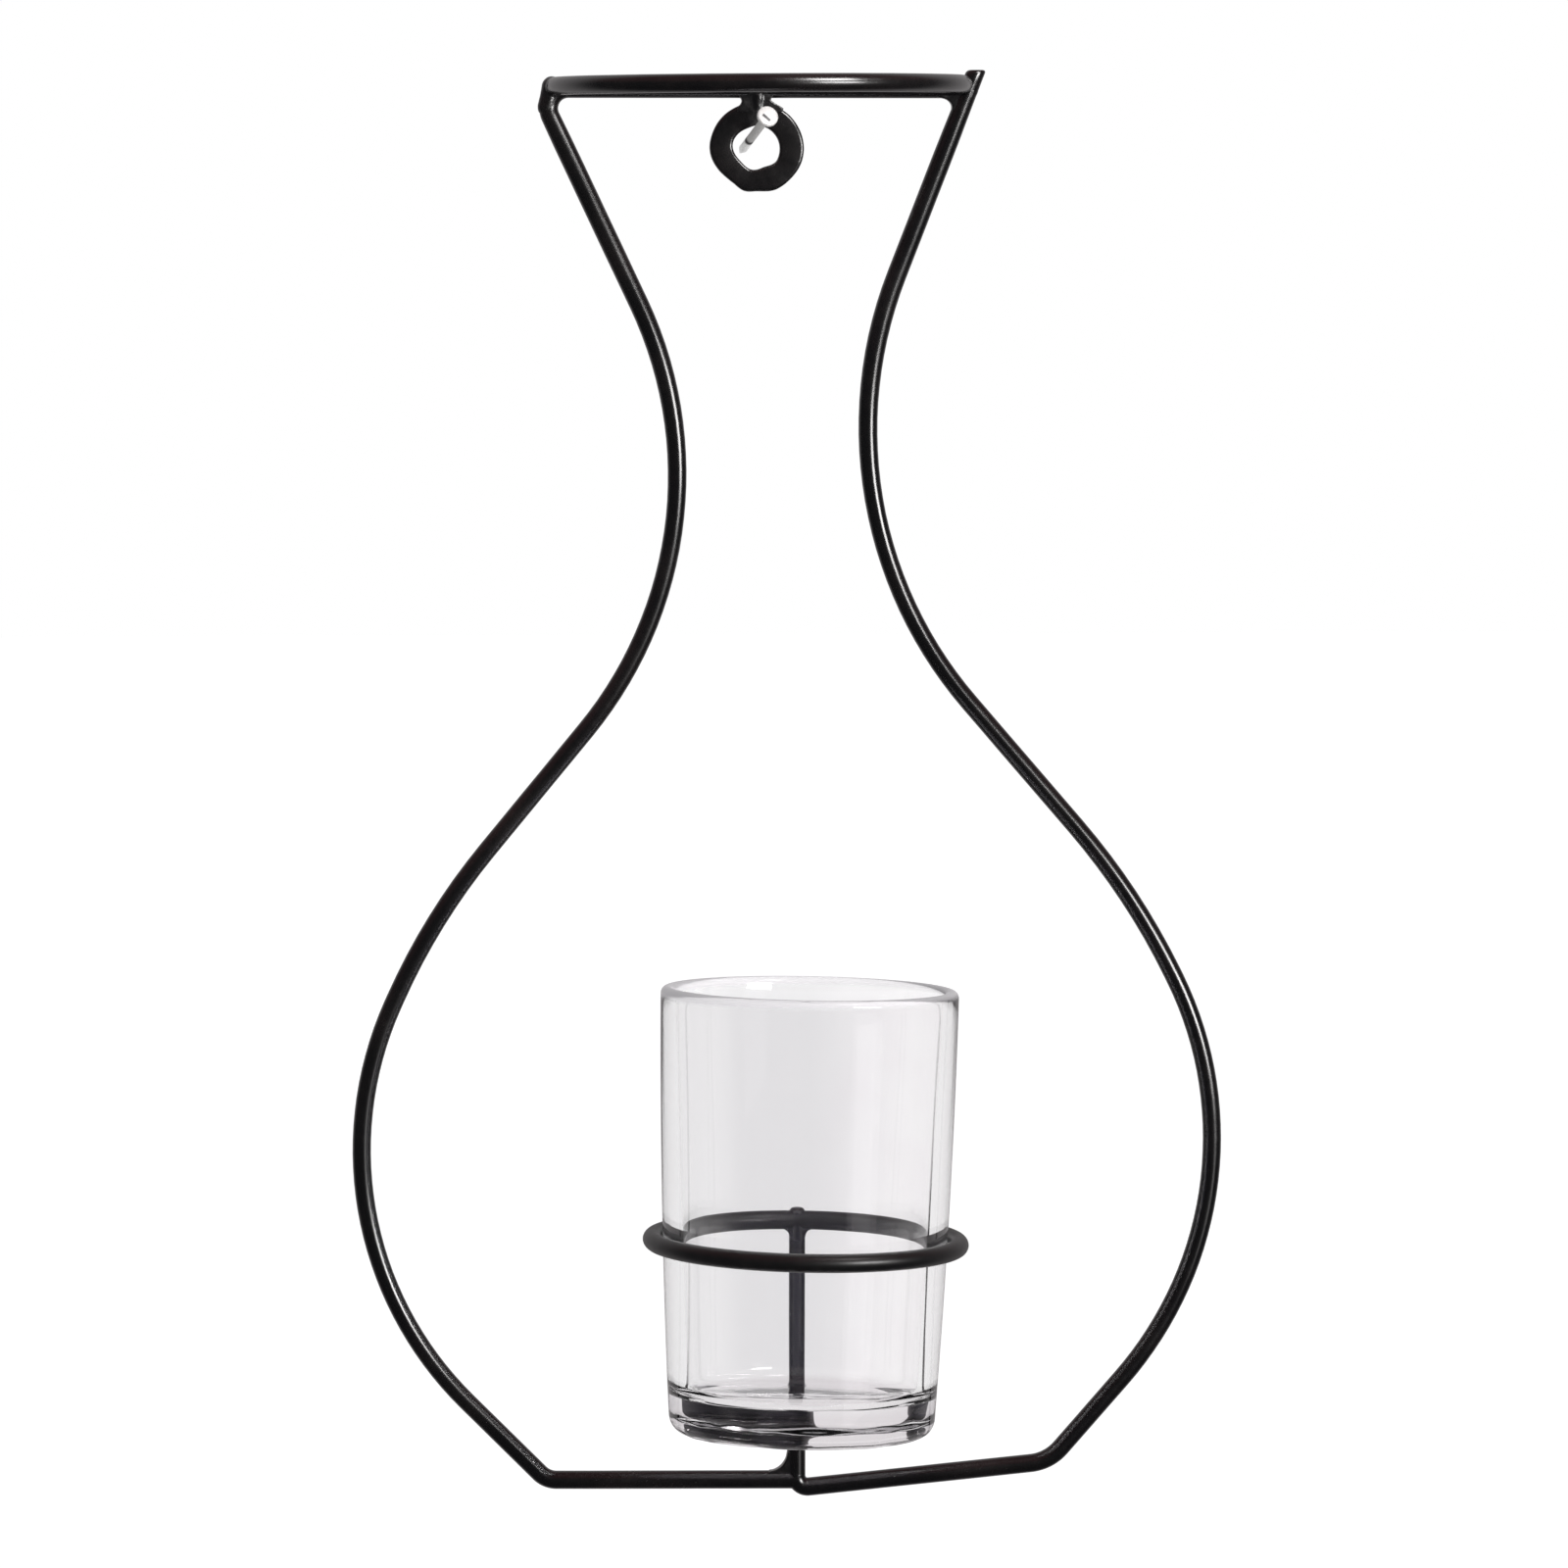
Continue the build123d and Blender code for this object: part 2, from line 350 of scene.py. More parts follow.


# drawn steel with scratches, with a painted shadow band where it meets the wall, and chalky with plaster
# behind it
def makeSteel(name):
    material, tree = startMaterial(name)
    coords = objectCoords(tree)
    along = addNode(tree, "ShaderNodeMapping", {}, {"Vector": coords, "Scale": steel["drawn"]})
    scratches = noise(tree, along, *steel["scratches"])
    patches = noise(tree, coords, *steel["patches"])
    depth = axisOf(tree, coords, 1) + (patches - 0.5) * (steel["ragged"] * mm)
    inWall = between(tree, depth, 0.0, 1.0, *inMetres(steel["plasterDepth"]))
    nearWall = between(tree, depth, 0.0, 1.0, *inMetres(steel["wallShadowDepth"]))
    dull = between(tree, blend(patches, scratches, steel["scratchInDull"]), 0.0, 1.0, *steel["dullFrom"])
    fromDent = addNode(tree, "ShaderNodeVectorMath", {"operation": "SUBTRACT"}, {
        0: coords, 1: Vector(steel["dentAt"]) * mm})
    dentLong = dentReach(tree, fromDent, steel["dentAlong"], steel["dentLength"])
    dentWide = dentReach(tree, fromDent, steel["dentAcross"], steel["dentWidth"])
    colour = mixColours(tree, dull, steel["bright"], steel["dull"])
    # painted shade of a dent: a short dark dash on the head
    colour = mixColours(tree, dentLong * dentWide, colour, steel["dentShade"])
    # painted shadow: a dark band where the nail meets the wall plane
    colour = mixColours(tree, nearWall, colour, steel["wallShadow"])
    colour = mixColours(tree, inWall, colour, steel["plaster"])
    rough = between(tree, blend(patches, scratches, steel["scratchInRough"]), *steel["rough"])
    lines = bumpBy(tree, scratches, steel["scratchBump"], steel["scratchDepth"])
    shader = addNode(tree, "ShaderNodeBsdfPrincipled", {}, {
        "Base Color": colour, "Metallic": (1.0 - inWall) * steel["metal"],
        "Roughness": rough + inWall * steel["plasterRough"], "Normal": lines})
    addNode(tree, "ShaderNodeOutputMaterial", {}, {"Surface": shader})
    return material


# the glass is tinted a little darker on its left, which is painted shade, and darker in its thick base
glass = {
    "clear": (0.98, 0.971, 0.977, 1),
    "thick": (0.966, 0.951, 0.961, 1),
    "shaded": (0.931, 0.924, 0.931, 1),
    "base": (0.77, 0.735, 0.755, 1),
    "shadeX": (9.0, 17.0),
    "bottomZ": -220.75,
    "baseRise": (4.2, 7.4),
    "ior": 1.5,
    "upright": (1.0, 1.0, 0.06),
    "ripples": (150.0, 2.0, 0.5),
    "rippleBump": 0.03,
    "rippleDepth": 1.2,
    "smears": (420.0, 3.0, 0.5),
    "clouds": (90.0, 3.0, 0.5),
    "rough": (0.0, 0.012),
    "roughFrom": (0.45, 0.75),
    "smearInRough": 0.5,
    "film": (0.86, 0.84, 0.87, 1),
    "filmRough": 0.8,
    "filmAmount": (0.0, 0.007),
    "smearInFilm": 0.6,
    "topZ": -144.05,
    "rimDrop": (2.6, 1.2),
    "rimFilm": 0.42,
}


# pressed glass with upright ripples and a faint film on it, more of it on the worn rim
def makeGlass(name):
    material, tree = startMaterial(name)
    coords = objectCoords(tree)
    upright = addNode(tree, "ShaderNodeMapping", {}, {"Vector": coords, "Scale": glass["upright"]})
    ripples = noise(tree, upright, *glass["ripples"])
    smears = noise(tree, upright, *glass["smears"])
    clouds = noise(tree, coords, *glass["clouds"])
    height = axisOf(tree, coords, 2)
    onLeft = between(tree, axisOf(tree, coords, 0), 1.0, 0.0, *inMetres(glass["shadeX"]))
    baseLow, baseHigh = inMetres(glass["bottomZ"] + rise for rise in glass["baseRise"])
    inBase = between(tree, height, 1.0, 0.0, baseLow, baseHigh)
    colour = mixColours(tree, between(tree, clouds, 0.0, 1.0), glass["clear"], glass["thick"])
    # painted shade: the left of the glass is tinted darker
    colour = mixColours(tree, onLeft, colour, glass["shaded"])
    colour = mixColours(tree, inBase, colour, glass["base"])
    rough = between(tree, blend(clouds, smears, glass["smearInRough"]), *glass["rough"], *glass["roughFrom"])
    bump = bumpBy(tree, ripples, glass["rippleBump"], glass["rippleDepth"])
    clear = addNode(tree, "ShaderNodeBsdfPrincipled", {}, {
        "Base Color": colour, "Roughness": rough, "Normal": bump, "IOR": glass["ior"],
        "Transmission Weight": 1.0})
    film = addNode(tree, "ShaderNodeBsdfPrincipled", {}, {
        "Base Color": glass["film"], "Roughness": glass["filmRough"], "Specular IOR Level": 0.0})
    rimLow, rimHigh = inMetres(glass["topZ"] - drop for drop in glass["rimDrop"])
    onRim = between(tree, height, 0.0, glass["rimFilm"], rimLow, rimHigh)
    amount = between(tree, blend(clouds, smears, glass["smearInFilm"]), *glass["filmAmount"]) + onRim
    shader = addNode(tree, "ShaderNodeMixShader", {}, {0: amount, 1: clear, 2: film})
    addNode(tree, "ShaderNodeOutputMaterial", {}, {"Surface": shader})
    return material


wireEnamel = makeEnamel("wireEnamel")
weldEnamel = makeEnamel("weldEnamel", enamel["weldLumps"])
ringEnamel = makeEnamel("ringEnamel", enamel["ringLumps"], enamel["satinGloss"], enamel["satinCoat"])
nailSteel = makeSteel("nailSteel")
cupGlass = makeGlass("cupGlass")
print("materials made")

bending = {
    "runStep": 5.0,
    "degreesPerStep": 2.2,
    "leastSteps": 8,
    "endRound": 0.95,
    "endSegments": 5,
}


# straight runs extruded and bends spun, as the wire was bent
def bendWire(name, corners, bends):
    heading = (corners[1] - corners[0]).normalized()
    wire = startWire(name, corners[0], heading)
    here = corners[0]
    for index in range(1, len(corners)):
        corner = corners[index]
        tangent, turn = 0.0, 0.0
        if index < len(corners) - 1:
            nextHeading = (corners[index + 1] - corner).normalized()
            turn = heading.angle(nextHeading)
            tangent = bends[index - 1] * mm * math.tan(turn / 2)
        runEnd = corner - heading * tangent
        run = runEnd - here
        pieces = max(1, round(run.length / (bending["runStep"] * mm)))
        for _ in range(pieces):
            bpy.ops.mesh.extrude_region_move(TRANSFORM_OT_translate={"value": run / pieces})
        here = runEnd
        if turn:
            inward = (nextHeading - heading * heading.dot(nextHeading)).normalized()
            centre = here + inward * bends[index - 1] * mm
            axis = heading.cross(nextHeading).normalized()
            steps = max(bending["leastSteps"], round(math.degrees(turn) / bending["degreesPerStep"]))
            # spin turns against the axis
            bpy.ops.mesh.spin(steps=steps, angle=-turn, center=centre, axis=axis)
            here = corner + nextHeading * tangent
            heading = nextHeading
    bpy.ops.mesh.edge_face_add()
    bpy.ops.mesh.bevel(offset=bending["endRound"] * mm, segments=bending["endSegments"], affect="EDGES")
    closeUp()
    return wire


paintCoat = {
    "depth": 0.035,
    "size": 7.0,
    "extra": 0.12,
    "extraZ": (-65.0, -30.0),
    "belowBar": 2.0,
    "fade": 8.0,
}


# a thin uneven coat of paint
def coatUnevenly(piece, depth=paintCoat["depth"], size=paintCoat["size"]):
    displaceByClouds(piece, depth, size)
    smoothFaces(piece)


# the side wires carry more paint towards the mouth
def thickenUpwards(piece):
    low, high = paintCoat["extraZ"]
    end = barZ - paintCoat["belowBar"]
    group = piece.vertex_groups.new(name="upperCoat")
    for v in piece.data.vertices:
        height = v.co.z / mm
        share = wayAlong(height, low, high) * wayAlong(height, end, end - paintCoat["fade"])
        group.add([v.index], share, "REPLACE")
    applyModifier(piece, "DISPLACE", vertex_group=group.name, strength=paintCoat["extra"] * mm, mid_level=0.0)


# a wire's corners are (x, drop), with a bend's radius for each corner between its ends
leftSide = {
    "corners": [(vaseFrame["postX"], 241.7), (-35.65, 241.3), (-79.65, 197.2), (-55.45, 143.2), (-0.6, 76.75),
                (-36.85, 0.0), (37.85, 0.0)],
    "bends": [4.2, 62.0, 112.0, 69.3, 3.4],
}
leftCorners = [framePoint(*corner) for corner in leftSide["corners"]]
leftWire = bendWire("leftSideWire", leftCorners, leftSide["bends"])
thickenUpwards(leftWire)
coatUnevenly(leftWire)
settle(leftWire, "vase_frame", "left_side_wire", wireEnamel)

rightSide = {
    "corners": [(40.348, -6.4), (9.4, 72.9), (66.8, 139.6), (92.95, 192.65), (52.15, 239.0),
                (vaseFrame["postX"], 243.2), (vaseFrame["postX"], 194.15)],
    "bends": [72.9, 121.7, 63.5, 8.0, 2.0],
    "stubRise": 3.3,
    "stubRound": 0.6,
    "stubSegments": 4,
}


# the right wire's top is sawn off level, above the bar
def sawStub(side):
    level = framePoint(0.0, -side["stubRise"])
    bpy.ops.object.mode_set(mode="EDIT")
    selectMesh()
    bpy.ops.mesh.bisect(plane_co=level, plane_no=upWay, clear_outer=True, use_fill=True)
    bpy.ops.mesh.bevel(offset=side["stubRound"] * mm, segments=side["stubSegments"], affect="EDGES")
    closeUp()


rightCorners = [framePoint(*corner) for corner in rightSide["corners"]]
rightWire = bendWire("rightSideWire", rightCorners, rightSide["bends"])
sawStub(rightSide)
thickenUpwards(rightWire)
coatUnevenly(rightWire)
settle(rightWire, "vase_frame", "right_side_wire", wireEnamel)

mouthArc = {
    "left": (-33.944, -0.4),
    "right": (36.6, -0.8),
    "steps": 72,
}


# half a ring standing out from the bar, spun from its left end
def makeMouthArc(arc):
    left, right = framePoint(*arc["left"]), framePoint(*arc["right"])
    across = (right - left).normalized()
    piece = startWire("mouthFrontArc", left, frontWay)
    axis = frontWay.cross(across)
    bpy.ops.mesh.spin(steps=arc["steps"], angle=-math.pi, center=(left + right) / 2, axis=axis)
    closeUp()
    coatUnevenly(piece)
    return piece


settle(makeMouthArc(mouthArc), "vase_frame", "mouth_front_arc", wireEnamel)

# an edge is a list of (degrees leftwards from straight down, reach from the middle)
eyelet = {
    "x": 1.0219,
    "outer": 8.2,
    "hole": 4.1,
    "thick": 1.8,
    "edge": 0.55,
    "edgeSegments": 5,
    "steps": 180,
    "outerEdge": [(-180, 8.2), (-100, 8.2), (-28, 7.6), (0, 7.15), (16, 7.4), (36, 7.0), (100, 8.2),
                  (180, 8.2)],
    "holeEdge": [(-180, 4.2), (-65, 3.95), (-22, 3.2), (16, 3.48), (46, 3.35), (112, 4.3), (160, 4.05),
                 (180, 4.2)],
    "coatDepth": 0.12,
    "coatSize": 3.5,
}
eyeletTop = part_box("hanging_eyelet")[1].z / mm
eyelet["centre"] = Vector((eyelet["x"], -wireRadius, eyeletTop - eyelet["outer"])) * mm


# how far an edge reaches, eased from one of its points to the next
def edgeReach(edge, degrees):
    for (first, near), (last, far) in zip(edge, edge[1:]):
        if degrees <= last:
            share = (degrees - first) / (last - first)
            return near + (far - near) * share * share * (3 - 2 * share)


# a washer: its rounded section is spun about the hole, then filed flat below, with paint pooled in the hole
def makeEyelet(washer):
    width = washer["outer"] - washer["hole"]
    middle = washer["centre"] + Vector((washer["hole"] + width / 2, 0, 0)) * mm
    deselectAll()
    bpy.ops.mesh.primitive_plane_add(size=mm, location=middle)
    piece = bpy.context.object
    piece.name = "hangingEyelet"
    applyPlace()
    bpy.ops.object.mode_set(mode="EDIT")
    selectMesh()
    bpy.ops.transform.resize(value=(width, washer["thick"], 1), center_override=middle)
    bpy.ops.mesh.bevel(offset=washer["edge"] * mm, segments=washer["edgeSegments"], affect="VERTICES")
    selectMesh()
    bpy.ops.mesh.delete(type="ONLY_FACE")
    selectMesh()
    bpy.ops.mesh.spin(steps=washer["steps"], angle=2 * math.pi, center=washer["centre"], axis=(0, 1, 0))
    closeUp()
    for v in piece.data.vertices:
        place = v.co - washer["centre"]
        outward = Vector((place.x, 0, place.z))
        degrees = math.degrees(math.atan2(-place.x, -place.z))
        hole = edgeReach(washer["holeEdge"], degrees)
        rim = edgeReach(washer["outerEdge"], degrees)
        share = (outward.length / mm - washer["hole"]) / width
        v.co += outward.normalized() * ((hole + share * (rim - hole)) * mm - outward.length)
    coatUnevenly(piece, washer["coatDepth"], washer["coatSize"])
    return piece


settle(makeEyelet(eyelet), "vase_frame", "hanging_eyelet", wireEnamel)

# the ring lies in front of the post, drooping and rolled by a degree or so
cupRing = {
    "radius": 26.3,
    "back": (7.4, 196.25),
    "forward": 0.4,
    "droop": math.radians(1.5),
    "roll": math.radians(1.1),
    "endGap": 0.8,
    "steps": 128,
}
ringTurn = Matrix.Rotation(cupRing["droop"], 4, "X") @ Matrix.Rotation(cupRing["roll"], 4, "Y")
ringPlace = Matrix.Translation(framePoint(*cupRing["back"], cupRing["forward"])) @ ringTurn
ringCentre = ringPlace @ Vector((0, -cupRing["radius"] * mm, 0))


# a ring bent round to the post, made flat and then laid in its place
def makeCupRing(ring):
    radius = ring["radius"] * mm
    half = math.asin(ring["endGap"] / 2 / ring["radius"])
    start = Vector((-radius * math.sin(half), radius * (math.cos(half) - 1), 0))
    heading = Vector((-math.cos(half), -math.sin(half), 0))
    piece = startWire("cupRing", start, heading)
    turn = 2 * math.pi - 2 * half
    bpy.ops.mesh.spin(steps=ring["steps"], angle=-turn, center=(0, -radius, 0), axis=upWay)
    closeUp()
    layIn(piece, ringPlace)
    coatUnevenly(piece)
    return piece


settle(makeCupRing(cupRing), "vase_frame", "cup_ring", ringEnamel)

# heights are measured up from the cup's foot
cup = {
    "left": 0.12,
    "height": 76.7,
    "rimRadius": 25.5,
    "seatHeight": 33.2,
    "seatRadius": 24.35,
    "baseRadius": 22.6,
    "rimWall": 2.4,
    "baseWall": 3.0,
    "floor": 6.6,
    "floorRings": (12.0, 8.0, 4.0, 0.0),
    "floorRound": 3.0,
    "heel": 3.4,
    "punt": 1.3,
    "puntRadius": 16.0,
    "around": 128,
    "wallSteps": 40,
    "rimSteps": 16,
    "turnSteps": 12,
    "waveDepth": 0.3,
    "waveSize": 7.0,
    "waveFade": (5.0, 9.0),
}


# pressed glass is wavy where it is thickest
def waveBase(piece, c):
    low, high = c["waveFade"]
    group = piece.vertex_groups.new(name="wavyBase")
    for v in piece.data.vertices:
        group.add([v.index], wayAlong(v.co.z / mm + c["seatHeight"], high, low), "REPLACE")
    displaceByClouds(piece, c["waveDepth"], c["waveSize"], vertex_group=group.name)


# the cup's half section goes from the middle of its base round to the middle of its floor
def cupSection(c):
    low, mid, top = (c["baseRadius"], 0.0), (c["seatRadius"], c["seatHeight"]), (c["rimRadius"], c["height"])
    innerBase = c["baseRadius"] - c["baseWall"]
    innerRim = c["rimRadius"] - c["rimWall"]
    heel, turn, rimHalf = c["heel"], c["floorRound"], c["rimWall"] / 2
    rimZ = c["height"] - rimHalf
    turnZ = c["floor"] + turn

    # the wall's gentle curve through heel, seat and rim
    def outer(z):
        a = (z - mid[1]) * (z - top[1]) / ((low[1] - mid[1]) * (low[1] - top[1]))
        b = (z - low[1]) * (z - top[1]) / ((mid[1] - low[1]) * (mid[1] - top[1]))
        d = (z - low[1]) * (z - mid[1]) / ((top[1] - low[1]) * (top[1] - mid[1]))
        return a * low[0] + b * mid[0] + d * top[0]

    def inner(z):
        return innerBase + (z - c["floor"]) / (c["height"] - c["floor"]) * (innerRim - innerBase)

    def wall(radiusAt, start, end):
        heights = [start + (end - start) * i / c["wallSteps"] for i in range(1, c["wallSteps"])]
        return [(radiusAt(z), z) for z in heights]

    def punt(step):
        rise = 0.5 * (1 + math.cos(math.pi * step / c["turnSteps"]))
        return c["puntRadius"] * step / c["turnSteps"], c["punt"] * rise

    section = [punt(step) for step in range(c["turnSteps"] + 1)]
    section += arcPoints((outer(heel) - heel, heel), heel, -90, 0, c["turnSteps"])
    section += wall(outer, heel, rimZ)
    section += arcPoints((outer(rimZ) - rimHalf, rimZ), rimHalf, 0, 180, c["rimSteps"])
    section += wall(inner, rimZ, turnZ)
    section += arcPoints((inner(turnZ) - turn, turnZ), turn, 0, -90, c["turnSteps"])
    section += [(r, c["floor"]) for r in c["floorRings"]]
    return section


# spun about its axis, then leant sideways as the ring is
def makeCup(c):
    piece = spinSection("glassCup", [(r, z - c["seatHeight"]) for r, z in cupSection(c)], c["around"])
    waveBase(piece, c)
    centre = ringCentre + leftWay * c["left"] * mm
    layIn(piece, Matrix.Translation(centre) @ Matrix.Rotation(cupRing["roll"], 4, "Y"))
    smoothFaces(piece, 180)
    return piece


settle(makeCup(cup), "cup", "glass_cup", cupGlass)

# lengths run along the nail; what is exposed and the tip are measured from the wall
nail = {
    "intoWall": (-0.2257778, 0.8987940, -0.3757574),
    "radius": 0.75,
    "exposed": 10.8,
    "tip": 6.2,
    "point": 2.2,
    "pointMid": (0.45, 0.9),  # share of the radius, and how far from the tip
    "headRadius": 1.85,
    "headThick": 0.8,
    "headRound": 0.25,
    "headSteps": 5,
    "headBreak": 0.12,
    "dome": 0.14,
    "domeMid": (0.55, 0.35),  # share of the way out, and of the way down
    "neck": [(0.3, 0.0), (0.06, 0.14), (0.0, 0.4)],  # out from the shank, down from the head
    "grips": 5,
    "gripStart": 0.7,
    "gripPitch": 0.34,
    "gripStep": 0.1,
    "gripDepth": 0.05,
    "around": 40,
}


# the nail's half section, from its domed head over its grip rings to its point
def nailSection(n):
    radius, headRadius = n["radius"], n["headRadius"]
    top = -n["exposed"]
    under = top + n["headThick"]
    domeEdge = headRadius - n["headRound"]
    domeShare, domeSink = n["domeMid"]
    pointShare, pointRise = n["pointMid"]
    section = [(0.0, top), (headRadius * domeShare, top + n["dome"] * domeSink), (domeEdge, top + n["dome"])]
    section += arcPoints((domeEdge, top + n["dome"] + n["headRound"]), n["headRound"], -90, 0, n["headSteps"])
    section += [(headRadius, under - n["headBreak"]), (headRadius - n["headBreak"], under)]
    section += [(radius + out, under + down) for out, down in n["neck"]]
    for ring in range(n["grips"]):
        start = under + n["gripStart"] + ring * n["gripPitch"]
        for step, depth in enumerate((0.0, n["gripDepth"], n["gripDepth"], 0.0)):
            section.append((radius - depth, start + step * n["gripStep"]))
    section += [(radius, n["tip"] - n["point"]), (radius * pointShare, n["tip"] - pointRise), (0.0, n["tip"])]
    return section


# spun upright, then turned to its slant
def makeNail(n):
    piece = spinSection("wallNail", nailSection(n), n["around"])
    layIn(piece, Vector(n["intoWall"]).to_track_quat("Z", "X").to_matrix().to_4x4())
    smoothFaces(piece, 35)
    return piece


settle(makeNail(nail), "nail", "wall_nail", nailSteel)
print("rigid pieces made")

# a sleeve is a stretch of wire inside a bead, as a share of the wire's radius at its start and end
bead = {
    "voxel": 0.13,
    "melt": 9,
    "soften": 0.5,
    "lumps": 0.16,
    "lumpSize": 1.6,
    "sleeve": 1.03,
    "sleeveEnd": 0.9,
    "stubSides": 24,
    "ballDivisions": 3,
    "webSteps": 8,
}
sleeve = wireRadius * bead["sleeve"]
sleeveEnd = wireRadius * bead["sleeveEnd"]


def addBall(centre, radius):
    bpy.ops.mesh.primitive_ico_sphere_add(
        subdivisions=bead["ballDivisions"], radius=radius * mm, location=centre)
    return bpy.context.object


# a short rod inside a bead, of another radius at its far end
def addStub(start, end, radius=sleeve, farRadius=sleeveEnd):
    way = end - start
    bpy.ops.mesh.primitive_cone_add(
        vertices=bead["stubSides"], radius1=radius * mm, radius2=farRadius * mm, depth=way.length,
        location=(start + end) / 2, rotation=way.to_track_quat("Z", "Y").to_euler())
    return bpy.context.object


# a flat plate of an outline, as thick to the front of it as to the back
def extrudeOutline(outline, thick):
    piece = startChain("web", outline[0])
    drawChain(outline)
    selectMesh()
    bpy.ops.mesh.remove_doubles(threshold=samePlace)
    bpy.ops.mesh.edge_face_add()
    bpy.ops.transform.translate(value=frontWay * (thick / 2 * mm))
    bpy.ops.mesh.extrude_region_move(TRANSFORM_OT_translate={"value": -frontWay * (thick * mm)})
    selectMesh()
    bpy.ops.mesh.normals_make_consistent(inside=False)
    bpy.ops.object.mode_set(mode="OBJECT")
    return piece


# a flat gusset in the angle of two wires, hollow along its free edge
def addWeb(corner, firstWay, firstReach, secondWay, secondReach, thick):
    outline = [corner, corner + firstWay * firstReach * mm]
    for step in range(bead["webSteps"] + 1):
        turn = math.pi / 2 * step / bead["webSteps"]
        first = firstReach - (firstReach - wireRadius) * math.sin(turn)
        second = secondReach - (secondReach - wireRadius) * math.cos(turn)
        outline.append(corner + (firstWay * first + secondWay * second) * mm)
    outline += [corner + secondWay * secondReach * mm, corner]
    return extrudeOutline(outline, thick)


# melts rough solids into one weld bead
def meltBead(name, node, solids):
    deselectAll()
    for solid in solids:
        solid.select_set(True)
    bpy.context.view_layer.objects.active = solids[0]
    bpy.ops.object.join()
    piece = bpy.context.object
    piece.name = name
    applyPlace()
    applyModifier(piece, "REMESH", mode="VOXEL", voxel_size=bead["voxel"] * mm)
    applyModifier(piece, "SMOOTH", factor=bead["soften"], iterations=bead["melt"])
    displaceByClouds(piece, bead["lumps"], bead["lumpSize"])
    smoothFaces(piece, 180)
    settle(piece, "vase_frame", node, weldEnamel)


# a web in the corner of two wires, with a sleeve along each and a ball where they meet;
# its web and reach are given along the first wire, then the second
def weldCorner(name, node, corner, firstWay, secondWay, weld):
    firstWeb, secondWeb = weld["web"]
    firstReach, secondReach = weld["reach"]
    meltBead(name, node, [
        addWeb(corner, firstWay, firstWeb, secondWay, secondWeb, weld["thick"]),
        addStub(corner, corner + firstWay * firstReach * mm),
        addStub(corner, corner + secondWay * secondReach * mm),
        addBall(corner, sleeve * weld["ball"])])


# where the bar ends on the right wire
barEndWeld = {"web": (5.1, 4.1), "reach": (6.0, 5.4), "thick": 2.3, "ball": 1.0}
barEnd = leftCorners[-1]
downWire = (rightCorners[1] - barEnd).normalized()
weldCorner("weldBarEnd", "weld_bar_end", barEnd, leftWay, downWire, barEndWeld)

# where the left bottom bar ends on the post
footWeld = {"web": (4.7, 5.0), "reach": (5.6, 6.0), "thick": 2.3, "ball": 1.0}
alongBar = (leftCorners[1] - leftCorners[0]).normalized()
weldCorner("weldFoot", "weld_foot", leftCorners[0], alongBar, upWay, footWeld)

# under the ring, on each side of the post
ringWeld = {"web": (2.7, 2.8), "reach": (3.6, 3.6), "thick": 2.2, "ball": 1.02, "forward": 0.2, "lean": -0.04}


def weldRing(name, node, side):
    corner = framePoint(vaseFrame["postX"], cupRing["back"][1], ringWeld["forward"])
    across, down = math.cos(cupRing["roll"]), -math.sin(cupRing["roll"])
    alongRing = Vector((side * across, ringWeld["lean"], side * down))
    weldCorner(name, node, corner, alongRing, -upWay, ringWeld)


weldRing("weldRingLeft", "weld_ring_left", -1)
weldRing("weldRingRight", "weld_ring_right", 1)

# the half ring's ends; at the left one, metal has run down over the outside of the bend
arcWeld = {
    "inset": 1.5,
    "lump": 1.55,
    "arcReach": 4.2,
    "barReach": 4.0,
    "barSleeve": 0.98,
    "shoulder": (-34.4, -0.5, 0.15),
    "bend": (-35.2, 3.3, 0.1),
    "runRadii": (1.66, 1.64, 1.62),
}


def weldArc(name, node, place, inward, hasRun):
    end = framePoint(*place)
    lumpAt = end + (inward + frontWay) * arcWeld["inset"] * mm
    solids = [
        addBall(lumpAt, arcWeld["lump"]),
        addStub(end, end + frontWay * arcWeld["arcReach"] * mm),
        addStub(end, end + inward * arcWeld["barReach"] * mm, sleeve * arcWeld["barSleeve"]),
        addBall(end, sleeve)]
    if hasRun:
        shoulder, bend = framePoint(*arcWeld["shoulder"]), framePoint(*arcWeld["bend"])
        first, second, last = arcWeld["runRadii"]
        solids += [addBall(shoulder, first), addStub(shoulder, bend, first, second), addBall(bend, last)]
    meltBead(name, node, solids)


weldArc("weldArcLeft", "weld_arc_left", mouthArc["left"], -leftWay, True)
weldArc("weldArcRight", "weld_arc_right", mouthArc["right"], leftWay, False)

# the neck between the bar and the eyelet, drawn as (right, up) from under the bar, and a run of metal down it
neckWeld = {
    "outline": [(-3.2, 0.4), (-2.7, 0.0), (-2.55, -0.55), (-2.8, -1.1), (-3.4, -1.65), (-3.6, -2.4),
                (2.6, -2.6), (4.2, -2.5), (4.6, -1.8), (2.5, -0.5), (2.4, -0.2), (2.9, 0.4), (-3.2, 0.4)],
    "thick": 2.3,
    "runTop": (0.2, -0.35, 0.6),
    "runEnd": (0.2, -0.35, -2.0),
    "runRadii": (1.2, 1.0),
    "leftReach": 4.4,
    "rightReach": 4.0,
}


def weldNeck(weld):
    top = framePoint(eyelet["x"], 0)
    under = top - upWay * wireRadius * mm
    outline = [under + Vector((x, 0, z)) * mm for x, z in weld["outline"]]
    runTop, runEnd = [under + Vector(weld[name]) * mm for name in ("runTop", "runEnd")]
    meltBead("weldEyelet", "weld_eyelet", [
        extrudeOutline(outline, weld["thick"]),
        addStub(runTop, runEnd, *weld["runRadii"]),
        addStub(top, top + leftWay * weld["leftReach"] * mm),
        addStub(top, top - leftWay * weld["rightReach"] * mm)])


weldNeck(neckWeld)
print("weld beads made")

